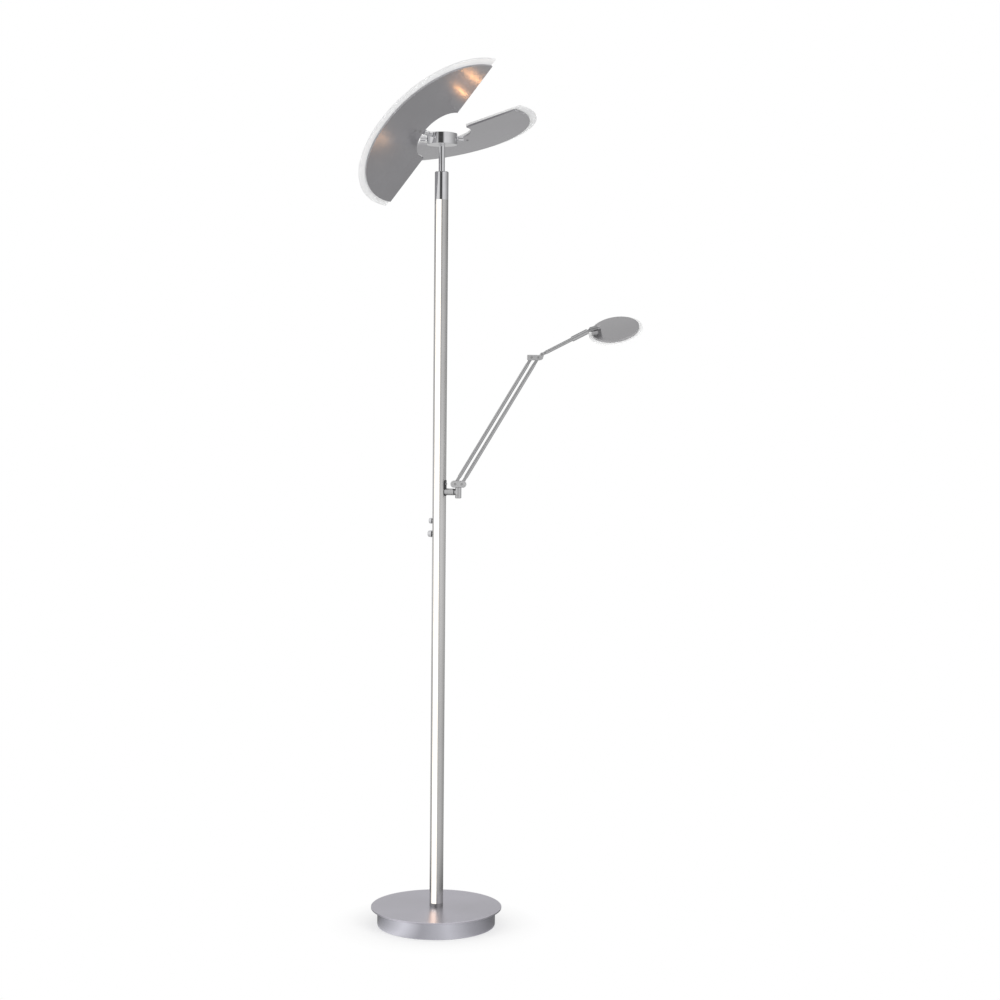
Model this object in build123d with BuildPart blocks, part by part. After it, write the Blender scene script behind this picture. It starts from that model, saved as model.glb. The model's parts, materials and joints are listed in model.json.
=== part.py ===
from build123d import *
from math import cos, degrees, radians, sin
import os

# Torchiere floor lamp with a two-bar reading arm. Millimetres, +Z up.
# Origin: centre of the base where it stands on the floor. The lit strip faces -Y, the reading arm is
# on the +X side and the dimmer knobs are on the -X side.

# ---- Driving dimensions ------------------------------------------------------------------------
# Base
plate_diameter = 298.4
plate_thickness = 3.5
plate_chamfer = 0.6
base_height = 42.8
drum_diameter = 269.6
drum_wall = 1.5
drum_shoulder_round = 2.0
drum_lift = 1.2
pad_thickness = 2.0
weight_thickness = 20.0
weight_hub_diameter = 60.0
weight_edge_gap = 1.8
weight_chamfer = 2.0
nut_pocket_diameter = 36.0
nut_pocket_depth = 12.0
cord_groove_width = 15.0
cord_groove_depth = 13.0
cord_bush_diameter = 10.0
cord_bush_bore = 7.0
cord_bush_flange = 14.0
cord_bush_flange_thickness = 1.8
cord_bush_round = 0.8
cord_bush_tail = 2.0
base_tube_diameter = 10.0
base_tube_bore = 6.0
base_nut_width = 17.0
base_nut_thickness = 6.0
base_washer_diameter = 28.0
base_washer_thickness = 2.0
base_tube_tail = 1.5

# Pole
pole_diameter = 31.0
pole_wall = 1.8
pole_top = 1648.7
foot_height = 8.1
plug_length = 26.0
strip_width = 12.6
strip_depth = 4.0
board_slot_width = 10.0
board_slot_depth = 7.0
slot_wall = 1.2
strip_board_width = 8.0
strip_board_thickness = 1.2
strip_board_end_gap = 5.0
strip_led_count = 40
strip_led_length = 5.0
strip_led_width = 3.0
strip_led_height = 1.0
strip_recess = 0.2

# Dimmers on the pole's -X side: height, knob diameter and how far the knob stands out
upper_dimmer_height = 925.4
lower_dimmer_height = 895.9
upper_knob_diameter = 13.8
lower_knob_diameter = 16.0
upper_knob_length = 7.2
lower_knob_length = 9.6
knob_gap = 1.0
knob_taper_angle = 6.0
knob_round = 1.8
dimmer_stem_diameter = 4.0
dimmer_bush_diameter = 7.0
dimmer_body_depth = 8.5
dimmer_body_width = 11.0
dimmer_body_height = 14.0

# Top sleeve, neck rod and hub
sleeve_height = 62.5
sleeve_wall = 1.5
sleeve_cap = 2.0
sleeve_chamfer = 1.2
neck_diameter = 14.0
neck_bore = 6.0
neck_journal_diameter = 12.0
neck_journal_length = 11.5
neck_spigot_diameter = 10.0
neck_spigot_length = 24.0
hub_diameter = 69.0
hub_height = 25.5
hub_bottom = 1771.0
hub_wall = 3.0
hub_rabbet = 1.0
hub_floor = 2.5
hub_lid_thickness = 1.2
hub_chamfer = 0.7
lid_chamfer = 0.4
bush_wall = 3.0
bush_flange_width = 2.5
bush_flange_thickness = 1.5
clip_thickness = 1.2
clip_width = 2.6
clip_groove_depth = 0.65
clip_mouth_share = 0.7
hub_turn_angle = -13.5
boss_diameter = 11.4
boss_reach = 37.0
hub_screw_stem_diameter = 5.0
hub_screw_knob_diameter = 13.5
hub_screw_knob_length = 12.5
hub_screw_standoff = 2.0
hub_screw_stem_inside = 6.0
hub_screw_drop = 5.7
hub_screw_knob_chamfer = 1.0
hub_screw_groove_depth = 1.0
hub_screw_groove_width = 1.6
hub_screw_groove_place = 3.1
hub_screw_angle = 24.0

# Wings: a metal tray with a clear light plate on top, on an arm that turns in the hub's boss
wing_axis_drop = 5.8
wing_inner_radius = 66.8
wing_outer_radius = 200.0
wing_rim = 16.0
wing_edge_gap = 4.7
wing_lift = 0.9
tray_height = 4.2
tray_sheet = 1.0
light_plate_thickness = 4.0
light_plate_chamfer = 0.6
front_twist_angle = 44.5
back_twist_angle = -11.8
wing_shaft_diameter = 7.0
wing_shaft_tail = 2.6
wing_clip_width = 1.4
wing_clip_groove_depth = 0.5
wing_ring_width = 1.6
wing_ring_length = 2.2
wing_arm_diameter = 10.0
wing_arm_end_chamfer = 1.0
wing_collar_length = 13.0
wing_tongue_length = 40.0
wing_tongue_width = 12.0
wing_tongue_root = 8.0
wing_screw_diameter = 3.0
wing_screw_head_diameter = 5.4
wing_screw_head_height = 1.2
wing_screw_spacing = 18.0
wing_board_edge_gap = 10.0
wing_board_width = 38.0
wing_board_thickness = 0.8
wing_board_end_gap = 6.0
wing_led_count = 22
wing_led_side = 3.5
wing_led_height = 0.8

# Reading arm: fixed mount on the pole
stub_height = 992.3
stub_diameter = 15.5
stub_chamfer = 0.8
arm_plate_drop = 9.5
arm_plate_height = 36.0
arm_plate_thickness = 1.0
arm_plate_half_angle = 26.0
arm_plate_corner = 5.0
arm_screw_rise = 17.5
arm_screw_diameter = 4.0
arm_screw_head_diameter = 7.5
arm_screw_length = 5.0
arm_screw_head_height = 1.2
arm_screw_head_round = 0.7
arm_bolt_diameter = 6.0
arm_bolt_head_diameter = 10.0
arm_bolt_head_height = 4.0
arm_bolt_reach = 12.0
arm_ring_diameter = 13.0
arm_ring_length = 2.4
post_offset = 46.8
post_diameter = 14.0
post_socket_reach = 7.0
post_below_stub = 14.0
post_above_stub = 9.95
post_chamfer = 1.0
spindle_diameter = 8.0
spindle_length = 18.5

# Reading arm: the moving links
arm_bearing_angle = 24.0
bar_lean_angle = 30.7
bar_length = 333.0
bar_diameter = 8.0
bar_spacing = 15.0
tongue_width = 6.8
tongue_thickness = 4.0
tongue_length = 18.5
slot_floor_gap = 0.5
pin_diameter = 4.0
knuckle_length = 36.0
knuckle_height = 15.3
knuckle_width = 14.0
knuckle_chamfer = 0.8
upper_knuckle_height = 12.0
upper_knuckle_back = 17.3
upper_knuckle_round = 1.4
toe_radius = 5.4
toe_reach = 12.7
ear_radius = 4.4
ear_slot_drop = 1.5
ear_reach = 16.0
ear_rise = 7.3
forearm_length = 125.0
forearm_angle = 27.4
forearm_diameter = 8.4
forearm_tongue = 9.0
grip_diameter = 12.2
grip_length = 40.0
grip_end_gap = 9.8
grip_round = 1.6

# Reading head
neck_angle = 13.0
neck_link_diameter = 12.0
neck_link_length = 13.0
neck_pin_inset = 0.6
head_roll = 30.3
head_distance = 53.1
head_drop = 11.0
head_shaft_diameter = 6.0
head_shaft_length = 6.5
head_boss_length = 7.0
head_boss_width = 8.0
head_radius = 54.2
head_rim = 7.4
head_height = 5.0
head_sheet = 1.2
head_edge_round = 1.0
head_plate_thickness = 3.5
head_plate_chamfer = 0.5
head_board_radius = 46.0
head_board_thickness = 1.0
head_led_count = 14
head_led_radius = 34.0
head_led_side = 3.5
head_led_height = 0.8

# Fits: radial clearances, and the gap between faces that slide past each other
running_fit = 0.05
seat_fit = 0.02
face_gap = 0.3
slot_fit = 0.2
cut_margin = 1.0

# ---- Worked out from the driving dimensions ----------------------------------------------------
pole_radius = pole_diameter / 2
pole_inner_radius = pole_radius - pole_wall
pole_bottom = base_height + foot_height
slot_back = pole_radius - board_slot_depth
slot_wall_back = slot_back - slot_wall
drum_radius = drum_diameter / 2
drum_top = base_height - plate_thickness
sleeve_top = pole_top + sleeve_height
hub_top = hub_bottom + hub_height
hub_radius = hub_diameter / 2
hub_inner_radius = hub_radius - hub_wall
wing_axis_height = hub_top - wing_axis_drop
wing_arm_start = boss_reach + face_gap + wing_ring_length
wing_arm_end = wing_inner_radius - 2 * face_gap
wing_tongue_end = wing_inner_radius + wing_tongue_length
wing_board_outer = wing_outer_radius - tray_sheet - wing_board_edge_gap
wing_board_inner = wing_board_outer - wing_board_width
arm_plate_bottom = stub_height - arm_plate_drop
light_plate_radius = wing_outer_radius + wing_rim
post_top = stub_height + post_above_stub
knuckle_centre_height = post_top + face_gap + knuckle_height / 2
spindle_bottom = post_top - spindle_length
slot_floor_drop = tongue_width / 2 + slot_floor_gap
tongue_slot = tongue_thickness + 2 * slot_fit


os.makedirs("parts", exist_ok=True)


def save(piece, name):
    piece.part.label = name
    export_step(piece.part, f"parts/{name}.step")


def round_edges(piece, radius):
    """The piece's circular edges of the given radius."""
    circles = piece.edges().filter_by(GeomType.CIRCLE)
    return circles.filter_by(lambda edge: abs(edge.radius - radius) < 0.01)


def turned(plane, direction, angle):
    """The plane turned about a direction through its own origin."""
    turn = Axis(plane.origin, direction)
    return Plane(
        origin=plane.origin,
        x_dir=plane.x_dir.rotate(turn, angle),
        z_dir=plane.z_dir.rotate(turn, angle),
    )


def square_to(plane, distance):
    """Plane across the given plane's x axis, `distance` along it; its normal is that x axis."""
    return Plane(origin=plane.origin + plane.x_dir * distance, x_dir=plane.y_dir, z_dir=plane.x_dir)


# ---- Base --------------------------------------------------------------------------------------
# Soft pad that the lamp stands on, glued under the weight.
with BuildPart() as base_pad:
    with BuildSketch():
        Circle(drum_radius - drum_wall - weight_edge_gap)
    extrude(amount=pad_thickness)
save(base_pad, "base_pad")

# Cast weight: a disc with a raised middle that carries the drum's roof, a pocket for the nut and a
# groove for the cord from the back of the drum to the pocket.
weight_top = pad_thickness + weight_thickness
pocket_top = pad_thickness + nut_pocket_depth
weight_radius = drum_radius - drum_wall - weight_edge_gap
with BuildPart() as base_weight:
    with BuildSketch(Plane.XY.offset(pad_thickness)):
        Circle(weight_radius)
    extrude(amount=weight_thickness)
    chamfer(base_weight.edges().group_by(Axis.Z)[-1], length=weight_chamfer)
    with BuildSketch(Plane.XY.offset(weight_top)):
        Circle(weight_hub_diameter / 2)
    extrude(amount=drum_top - drum_wall - weight_top)
    with BuildSketch(Plane.XY.offset(pad_thickness)):
        Circle(nut_pocket_diameter / 2)
    extrude(amount=nut_pocket_depth, mode=Mode.SUBTRACT)
    with BuildSketch(Plane.XY.offset(pad_thickness)):
        Rectangle(cord_groove_width, weight_radius + cut_margin, align=(Align.CENTER, Align.MIN))
    extrude(amount=cord_groove_depth, mode=Mode.SUBTRACT)
    with Locations((0, 0, drum_top)):
        Hole(base_tube_diameter / 2 + seat_fit)
save(base_weight, "base_weight")

# Spun drum: an inverted cup with a rounded shoulder.
cord_height = pad_thickness + cord_groove_depth / 2
with BuildPart() as base_drum:
    with BuildSketch(Plane.XY.offset(drum_lift)):
        Circle(drum_radius)
    extrude(amount=drum_top - drum_lift)
    fillet(base_drum.edges().group_by(Axis.Z)[-1], radius=drum_shoulder_round)
    with BuildSketch(Plane.XY.offset(drum_lift)):
        Circle(drum_radius - drum_wall)
    extrude(amount=drum_top - drum_lift - drum_wall, mode=Mode.SUBTRACT)
    with Locations((0, 0, drum_top)):
        Hole(base_tube_diameter / 2 + seat_fit)
    with BuildSketch(Plane.XZ.offset(-drum_radius - cut_margin)):
        with Locations((0, cord_height)):
            Circle(cord_bush_diameter / 2 + seat_fit)
    extrude(amount=drum_wall + 2 * cut_margin, mode=Mode.SUBTRACT)
save(base_drum, "base_drum")

# Turned plate on top of the drum.
with BuildPart() as base_plate:
    with BuildSketch(Plane.XY.offset(drum_top)):
        Circle(plate_diameter / 2)
        Circle(base_tube_diameter / 2 + seat_fit, mode=Mode.SUBTRACT)
    extrude(amount=plate_thickness)
    chamfer(round_edges(base_plate, plate_diameter / 2), length=plate_chamfer)
save(base_plate, "base_plate")

# Bush that lines the cord's hole in the back of the drum. It lies in the groove's mouth.
with BuildPart() as cord_bush:
    with BuildSketch(Plane.XZ.offset(-drum_radius)):
        with Locations((0, cord_height)):
            Circle(cord_bush_diameter / 2)
    extrude(amount=drum_wall + cord_bush_tail)
    with BuildSketch(Plane.XZ.offset(-drum_radius - cord_bush_flange_thickness)):
        with Locations((0, cord_height)):
            Circle(cord_bush_flange / 2)
    extrude(amount=cord_bush_flange_thickness)
    fillet(
        cord_bush.edges().filter_by(GeomType.CIRCLE).group_by(Axis.Y)[-1], radius=cord_bush_round
    )
    with BuildSketch(Plane.XZ.offset(-drum_radius - cord_bush_flange_thickness - cut_margin)):
        with Locations((0, cord_height)):
            Circle(cord_bush_bore / 2)
    extrude(
        amount=drum_wall + cord_bush_flange_thickness + cord_bush_tail + 2 * cut_margin,
        mode=Mode.SUBTRACT,
    )
save(cord_bush, "cord_bush")

# Threaded tube, washer and nut that clamp the pole, the plate and the drum to the weight.
washer_bottom = pocket_top - base_washer_thickness
nut_bottom = washer_bottom - base_nut_thickness
tube_bottom = nut_bottom - base_tube_tail
with BuildPart() as base_tube:
    with BuildSketch(Plane.XY.offset(tube_bottom)):
        Circle(base_tube_diameter / 2)
        Circle(base_tube_bore / 2, mode=Mode.SUBTRACT)
    extrude(amount=pole_bottom + plug_length - tube_bottom)
save(base_tube, "base_tube")

with BuildPart() as base_washer:
    with BuildSketch(Plane.XY.offset(washer_bottom)):
        Circle(base_washer_diameter / 2)
        Circle(base_tube_diameter / 2 + seat_fit, mode=Mode.SUBTRACT)
    extrude(amount=base_washer_thickness)
save(base_washer, "base_washer")

with BuildPart() as base_nut:
    with BuildSketch(Plane.XY.offset(nut_bottom)):
        RegularPolygon(base_nut_width / 2, 6, major_radius=False)
        Circle(base_tube_diameter / 2 + seat_fit, mode=Mode.SUBTRACT)
    extrude(amount=base_nut_thickness)
save(base_nut, "base_nut")


# ---- Pole --------------------------------------------------------------------------------------
def plug_outline(height):
    """D-shaped outline that fits the pole's hollow behind the light channel."""
    with BuildSketch(Plane.XY.offset(height)) as outline:
        Circle(pole_inner_radius - running_fit)
        with Locations((0, -slot_wall_back + running_fit)):
            Rectangle(pole_diameter, pole_radius, align=(Align.CENTER, Align.MAX), mode=Mode.SUBTRACT)
    return outline.sketch


# Collar at the foot of the pole with a plug up inside it.
with BuildPart() as pole_foot:
    with BuildSketch(Plane.XY.offset(base_height)):
        Circle(pole_radius)
    extrude(amount=foot_height)
    extrude(plug_outline(pole_bottom), amount=plug_length)
    with Locations((0, 0, base_height)):
        Hole(base_tube_diameter / 2 + seat_fit)
save(pole_foot, "pole_foot")

# Round extrusion. A stepped channel up the front holds the light board behind the lit strip.
with BuildPart() as pole_tube:
    with BuildSketch(Plane.XY.offset(pole_bottom)):
        Circle(pole_radius)
        Circle(pole_inner_radius, mode=Mode.SUBTRACT)
        with Locations((0, -pole_radius)):
            Rectangle(
                strip_width + 2 * slot_wall,
                board_slot_depth + slot_wall,
                align=(Align.CENTER, Align.MIN),
            )
        Circle(pole_radius, mode=Mode.INTERSECT)
        with Locations((0, -pole_radius)):
            Rectangle(
                strip_width, strip_depth, align=(Align.CENTER, Align.MIN), mode=Mode.SUBTRACT
            )
            Rectangle(
                board_slot_width,
                board_slot_depth,
                align=(Align.CENTER, Align.MIN),
                mode=Mode.SUBTRACT,
            )
    extrude(amount=pole_top - pole_bottom)
    # Holes for the two dimmers on the left and for the reading arm's bolt and screw on the right.
    with BuildSketch(Plane.YZ.offset(-pole_radius - cut_margin)):
        with Locations((0, upper_dimmer_height), (0, lower_dimmer_height)):
            Circle(dimmer_bush_diameter / 2 + seat_fit)
    extrude(amount=pole_radius, mode=Mode.SUBTRACT)
    with BuildSketch(Plane.YZ):
        with Locations((0, stub_height)):
            Circle(arm_bolt_diameter / 2 + seat_fit)
        with Locations((0, stub_height + arm_screw_rise)):
            Circle(arm_screw_diameter / 2 + seat_fit)
    extrude(amount=pole_radius + cut_margin, mode=Mode.SUBTRACT)
save(pole_tube, "pole_tube")

# Light board with its row of light chips.
strip_length = pole_top - pole_bottom
strip_middle = (pole_top + pole_bottom) / 2
with BuildPart() as strip_board:
    with BuildSketch(Plane.XZ.offset(slot_back)):
        with Locations((0, strip_middle)):
            Rectangle(strip_board_width, strip_length - 2 * strip_board_end_gap)
    extrude(amount=strip_board_thickness)
    with BuildSketch(Plane.XZ.offset(slot_back + strip_board_thickness)):
        with Locations((0, strip_middle)):
            with GridLocations(0, strip_length / strip_led_count, 1, strip_led_count):
                Rectangle(strip_led_width, strip_led_length)
    extrude(amount=strip_led_height)
save(strip_board, "strip_board")

# Opal strip: flat behind, where it rests on the channel's step, and round in front.
with BuildPart() as strip_diffuser:
    with BuildSketch(Plane.XY.offset(pole_bottom)):
        Circle(pole_radius - strip_recess)
        with Locations((0, -pole_radius)):
            Rectangle(
                strip_width - 2 * running_fit,
                strip_depth,
                align=(Align.CENTER, Align.MIN),
                mode=Mode.INTERSECT,
            )
    extrude(amount=strip_length)
save(strip_diffuser, "strip_diffuser")


# Dimmers: a body inside the pole with a threaded bush through the wall, and a knob with its stem.
def dimmer(name, height, knob_diameter, knob_length):
    outward = Plane(origin=(0, 0, height), x_dir=(0, -1, 0), z_dir=(-1, 0, 0))
    body_face = (pole_inner_radius**2 - (dimmer_body_width / 2) ** 2) ** 0.5 - face_gap
    bush_end = pole_radius + knob_gap - 2 * face_gap
    with BuildPart() as body:
        with BuildSketch(outward.offset(body_face - dimmer_body_depth)):
            Rectangle(dimmer_body_width, dimmer_body_height)
        extrude(amount=dimmer_body_depth)
        with BuildSketch(outward.offset(body_face)):
            Circle(dimmer_bush_diameter / 2)
        extrude(amount=bush_end - body_face)
        with BuildSketch(outward.offset(body_face - dimmer_body_depth / 2)):
            Circle(dimmer_stem_diameter / 2 + running_fit)
        extrude(amount=pole_radius, mode=Mode.SUBTRACT)
    save(body, f"{name}_dimmer_body")

    knob_start = pole_radius + knob_gap
    with BuildPart() as knob:
        with BuildSketch(outward.offset(knob_start)):
            Circle(knob_diameter / 2)
        extrude(amount=knob_length, taper=knob_taper_angle)
        face = knob.faces().sort_by(Axis.X)[0]
        fillet(face.edges(), radius=knob_round)
        with BuildSketch(outward.offset(body_face - dimmer_body_depth / 2 + face_gap)):
            Circle(dimmer_stem_diameter / 2)
        extrude(amount=knob_start + knob_length / 2 - body_face + dimmer_body_depth / 2)
    save(knob, f"{name}_dimmer_knob")


dimmer("upper", upper_dimmer_height, upper_knob_diameter, upper_knob_length)
dimmer("lower", lower_dimmer_height, lower_knob_diameter, lower_knob_length)

# ---- Top of the pole: plug, sleeve and neck rod ------------------------------------------------
with BuildPart() as pole_plug:
    extrude(plug_outline(pole_top - plug_length), amount=plug_length)
    with Locations((0, 0, pole_top)):
        Hole(neck_spigot_diameter / 2 + seat_fit)
save(pole_plug, "pole_plug")

with BuildPart() as top_sleeve:
    with BuildSketch(Plane.XY.offset(pole_top)):
        Circle(pole_radius)
    extrude(amount=sleeve_height)
    chamfer(top_sleeve.edges().group_by(Axis.Z)[-1], length=sleeve_chamfer)
    with BuildSketch(Plane.XY.offset(pole_top)):
        Circle(pole_radius - sleeve_wall)
    extrude(amount=sleeve_height - sleeve_cap, mode=Mode.SUBTRACT)
    with Locations((0, 0, sleeve_top)):
        Hole(neck_diameter / 2 + seat_fit)
save(top_sleeve, "top_sleeve")

# Hollow rod, stepped down at the foot to enter the plug and at the top to carry the hub.
neck_shoulder = hub_bottom - face_gap
clip_bottom = hub_bottom + hub_floor + bush_flange_thickness + face_gap
with BuildPart() as neck_rod:
    with BuildSketch(Plane.XY.offset(pole_top - neck_spigot_length)):
        Circle(neck_spigot_diameter / 2)
    extrude(amount=neck_spigot_length)
    with BuildSketch(Plane.XY.offset(pole_top)):
        Circle(neck_diameter / 2)
    extrude(amount=neck_shoulder - pole_top)
    with BuildSketch(Plane.XY.offset(neck_shoulder)):
        Circle(neck_journal_diameter / 2)
    extrude(amount=neck_journal_length)
    with BuildSketch(Plane.XY.offset(clip_bottom)):
        Circle(neck_journal_diameter)
        Circle(neck_journal_diameter / 2 - clip_groove_depth, mode=Mode.SUBTRACT)
    extrude(amount=clip_thickness, mode=Mode.SUBTRACT)
    with Locations((0, 0, neck_shoulder)):
        Hole(neck_bore / 2)
save(neck_rod, "neck_rod")


def clip(plane, groove_radius, width):
    """Open retaining ring that snaps round a groove of the given radius."""
    with BuildPart() as ring:
        with BuildSketch(plane):
            Circle(groove_radius + width)
            Circle(groove_radius + seat_fit, mode=Mode.SUBTRACT)
            Rectangle(
                groove_radius * 2 * clip_mouth_share,
                2 * (groove_radius + width),
                align=(Align.CENTER, Align.MIN),
                mode=Mode.SUBTRACT,
            )
        extrude(amount=clip_thickness - 2 * seat_fit)
    return ring


neck_groove_radius = neck_journal_diameter / 2 - clip_groove_depth
neck_clip = clip(Plane.XY.offset(clip_bottom + seat_fit), neck_groove_radius, clip_width)
save(neck_clip, "neck_clip")

# ---- Hub ---------------------------------------------------------------------------------------
arm_angles = {"front": hub_turn_angle + 180, "back": hub_turn_angle}
screw_angles = {"left": hub_screw_angle + 180, "right": hub_screw_angle}
hub_screw_height = wing_axis_height - hub_screw_drop


def hub_side(angle, height, distance):
    """Plane that faces straight out of the hub at the given angle from +X."""
    outward = Vector(cos(radians(angle)), sin(radians(angle)), 0)
    return Plane(origin=outward * distance + Vector(0, 0, height), x_dir=(0, 0, 1), z_dir=outward)


def boss_plane(side, distance):
    return hub_side(arm_angles[side] + 90, wing_axis_height, distance)


# Chrome drum, open at the top, with a boss for each wing arm and a hole for each side screw.
with BuildPart() as hub_housing:
    with BuildSketch(Plane.XY.offset(hub_bottom)):
        Circle(hub_radius)
    extrude(amount=hub_height)
    chamfer(hub_housing.edges(), length=hub_chamfer)
    for side in arm_angles:
        with BuildSketch(boss_plane(side, hub_inner_radius)):
            Circle(boss_diameter / 2)
        extrude(amount=boss_reach - hub_inner_radius)
    with BuildSketch(Plane.XY.offset(hub_bottom + hub_floor)):
        Circle(hub_inner_radius)
    extrude(amount=hub_height, mode=Mode.SUBTRACT)
    with BuildSketch(Plane.XY.offset(hub_top - hub_lid_thickness)):
        Circle(hub_inner_radius + hub_rabbet)
    extrude(amount=hub_lid_thickness, mode=Mode.SUBTRACT)
    with BuildSketch(Plane.XY.offset(hub_bottom)):
        Circle(neck_journal_diameter / 2 + bush_wall + seat_fit)
    extrude(amount=hub_floor, mode=Mode.SUBTRACT)
    for side in arm_angles:
        with BuildSketch(boss_plane(side, hub_inner_radius - cut_margin)):
            Circle(wing_shaft_diameter / 2 + running_fit)
        extrude(amount=boss_reach, mode=Mode.SUBTRACT)
    for side in screw_angles:
        with BuildSketch(hub_side(screw_angles[side], hub_screw_height, hub_inner_radius - cut_margin)):
            Circle(hub_screw_stem_diameter / 2 + running_fit)
        extrude(amount=hub_wall + 2 * cut_margin, mode=Mode.SUBTRACT)
save(hub_housing, "hub_housing")

with BuildPart() as hub_lid:
    with BuildSketch(Plane.XY.offset(hub_top - hub_lid_thickness)):
        Circle(hub_inner_radius + hub_rabbet - running_fit)
    extrude(amount=hub_lid_thickness)
    chamfer(hub_lid.edges().group_by(Axis.Z)[-1], length=lid_chamfer)
save(hub_lid, "hub_lid")

# Flanged bush in the hub's floor that turns on the rod's journal.
with BuildPart() as hub_bush:
    with BuildSketch(Plane.XY.offset(hub_bottom)):
        Circle(neck_journal_diameter / 2 + bush_wall)
    extrude(amount=hub_floor)
    with BuildSketch(Plane.XY.offset(hub_bottom + hub_floor)):
        Circle(neck_journal_diameter / 2 + bush_wall + bush_flange_width)
    extrude(amount=bush_flange_thickness)
    with Locations((0, 0, hub_bottom)):
        Hole(neck_journal_diameter / 2 + running_fit)
save(hub_bush, "hub_bush")

# Side screws with waisted heads.
for side, angle in screw_angles.items():
    head_start = hub_radius + hub_screw_standoff
    with BuildPart() as hub_screw:
        with BuildSketch(hub_side(angle, hub_screw_height, hub_inner_radius - hub_screw_stem_inside)):
            Circle(hub_screw_stem_diameter / 2)
        extrude(amount=head_start - hub_inner_radius + hub_screw_stem_inside)
        with BuildSketch(hub_side(angle, hub_screw_height, head_start)):
            Circle(hub_screw_knob_diameter / 2)
        extrude(amount=hub_screw_knob_length)
        chamfer(round_edges(hub_screw, hub_screw_knob_diameter / 2), length=hub_screw_knob_chamfer)
        with BuildSketch(hub_side(angle, hub_screw_height, head_start + hub_screw_groove_place)):
            Circle(hub_screw_knob_diameter)
            Circle(hub_screw_knob_diameter / 2 - hub_screw_groove_depth, mode=Mode.SUBTRACT)
        extrude(amount=hub_screw_groove_width, mode=Mode.SUBTRACT)
    save(hub_screw, f"{side}_hub_screw")


# ---- Wings -------------------------------------------------------------------------------------
wing_groove_radius = wing_shaft_diameter / 2 - wing_clip_groove_depth


def half_ring(plane, inner, outer, edge):
    """Half ring on the plane's +y side, cut straight `edge` beyond its x axis."""
    with BuildSketch(plane) as ring:
        Circle(outer)
        Circle(inner, mode=Mode.SUBTRACT)
        with Locations((0, edge)):
            Rectangle(
                3 * outer, 3 * outer, align=(Align.CENTER, Align.MAX), mode=Mode.SUBTRACT
            )
    return ring.sketch


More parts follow.
